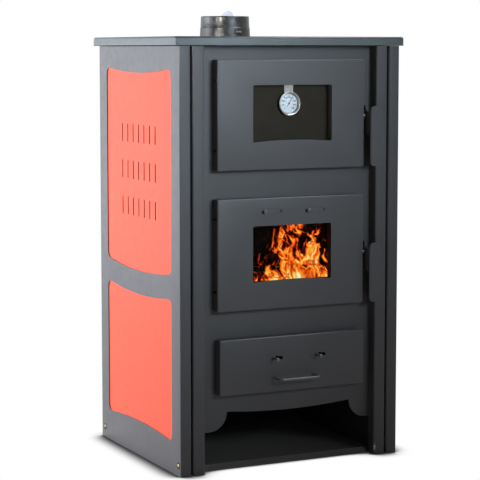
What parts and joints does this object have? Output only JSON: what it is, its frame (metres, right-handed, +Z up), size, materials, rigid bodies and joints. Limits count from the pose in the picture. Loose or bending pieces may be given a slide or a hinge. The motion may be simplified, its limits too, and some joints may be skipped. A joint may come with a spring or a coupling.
{
  "type": "wood cookstove",
  "caption": "Freestanding wood cookstove: glazed oven over a glazed firebox, ash drawer and open wood store, in a folded sheet casing with arched side cut-outs and vented panels.",
  "frame": {"origin": "on the floor under the middle of the casing, on the underside of the base plate", "axes": "+X to the right along the front, +Y from the front to the back, +Z up"},
  "size_m": [0.57, 0.5229, 1.0284],
  "materials": {
    "paint": "matte heat-proof paint",
    "coral_paint": "satin enamel",
    "cast_iron": "matte",
    "raw_steel": "mill scale",
    "stainless": "brushed",
    "zinc": "zinc plated",
    "glass": "polished heat-proof",
    "seal_rope": "woven rope",
    "firebrick": "rough",
    "dial_paint": "satin",
    "needle_paint": "satin"
  },
  "bodies": {
    "stove_body": {"side_casing_left": "paint", "side_casing_right": "paint", "upper_side_panel_left": "coral_paint", "upper_side_panel_right": "coral_paint", "lower_side_panel_left": "coral_paint", "lower_side_panel_right": "coral_paint", "back_panel": "paint", "inner_post_left": "paint", "inner_post_right": "paint", "front_plate": "paint", "body_wall_left": "raw_steel", "body_wall_right": "raw_steel", "body_wall_back": "raw_steel", "base_plate": "paint", "top_frame": "paint", "cooking_plate": "cast_iron", "flue_collar": "cast_iron", "oven_hinge_lower": "raw_steel", "oven_hinge_upper": "raw_steel", "fire_hinge_lower": "raw_steel", "fire_hinge_upper": "raw_steel", "oven_box": "raw_steel", "smoke_baffle": "raw_steel", "firebrick_left": "firebrick", "firebrick_right": "firebrick", "firebrick_back": "firebrick", "hearth_plate": "cast_iron", "fire_grate": "cast_iron", "log_guard": "cast_iron", "ash_shelf": "raw_steel"},
    "oven_door": {"oven_door_shell": "paint", "oven_glass_frame": "paint", "oven_door_glass": "glass", "oven_door_liner": "raw_steel", "oven_door_seal": "seal_rope", "oven_handle_pivot": "raw_steel", "thermometer_case": "stainless", "thermometer_dial": "dial_paint", "thermometer_lens": "glass", "thermometer_strap": "stainless"},
    "thermometer_needle": {"thermometer_needle": "needle_paint"},
    "oven_door_handle": {"oven_door_handle": "paint"},
    "fire_door": {"fire_door_shell": "paint", "fire_glass_frame": "paint", "fire_door_glass": "glass", "fire_door_liner": "raw_steel", "fire_door_seal": "seal_rope", "fire_handle_pivot": "raw_steel"},
    "fire_door_handle": {"fire_door_handle": "paint"},
    "fire_air_slider": {"fire_air_slider": "raw_steel"},
    "ash_drawer": {"ash_drawer_front": "paint", "ash_pan": "raw_steel", "drawer_handle": "paint"},
    "drawer_air_slider": {"drawer_air_slider": "raw_steel"},
    "cooking_lid": {"cooking_lid": "cast_iron"},
    "damper": {"damper_disc": "zinc", "damper_spindle": "zinc"},
    "oven_rack": {"oven_rack": "stainless"}
  },
  "joints": [
    {"name": "oven_door_hinge", "type": "hinge", "parent": "stove_body", "child": "oven_door", "pos_m": [-0.1775, -0.228, 0.79], "axis": [0, 0, -1], "range_deg": [0, 110]},
    {"name": "oven_handle_turn", "type": "hinge", "parent": "oven_door", "child": "oven_door_handle", "pos_m": [0.193, -0.223, 0.785], "axis": [-1, 0, 0], "range_deg": [0, 25]},
    {"name": "thermometer_needle_turn", "type": "hinge", "parent": "oven_door", "child": "thermometer_needle", "pos_m": [-0.001, -0.219, 0.8166], "axis": [0, 1, 0], "range_deg": [-155, 95]},
    {"name": "fire_door_hinge", "type": "hinge", "parent": "stove_body", "child": "fire_door", "pos_m": [-0.1775, -0.228, 0.48], "axis": [0, 0, -1], "range_deg": [0, 110]},
    {"name": "fire_handle_turn", "type": "hinge", "parent": "fire_door", "child": "fire_door_handle", "pos_m": [0.193, -0.223, 0.4735], "axis": [-1, 0, 0], "range_deg": [0, 25]},
    {"name": "fire_air_slide", "type": "slide", "parent": "fire_door", "child": "fire_air_slider", "axis": [1, 0, 0], "range_m": [0, 0.04]},
    {"name": "ash_drawer_slide", "type": "slide", "parent": "stove_body", "child": "ash_drawer", "axis": [0, -1, 0], "range_m": [0, 0.3]},
    {"name": "drawer_air_slide", "type": "slide", "parent": "ash_drawer", "child": "drawer_air_slider", "axis": [1, 0, 0], "range_m": [-0.02, 0.02]},
    {"name": "cooking_lid_lift", "type": "slide", "parent": "stove_body", "child": "cooking_lid", "axis": [0, 0, 1], "range_m": [0, 0.1]},
    {"name": "damper_turn", "type": "hinge", "parent": "stove_body", "child": "damper", "pos_m": [0, 0.114, 0.9783], "axis": [0, 1, 0], "range_deg": [-8.5, 81.5]},
    {"name": "oven_rack_slide", "type": "slide", "parent": "stove_body", "child": "oven_rack", "axis": [0, -1, 0], "range_m": [0, 0.04]}
  ]
}
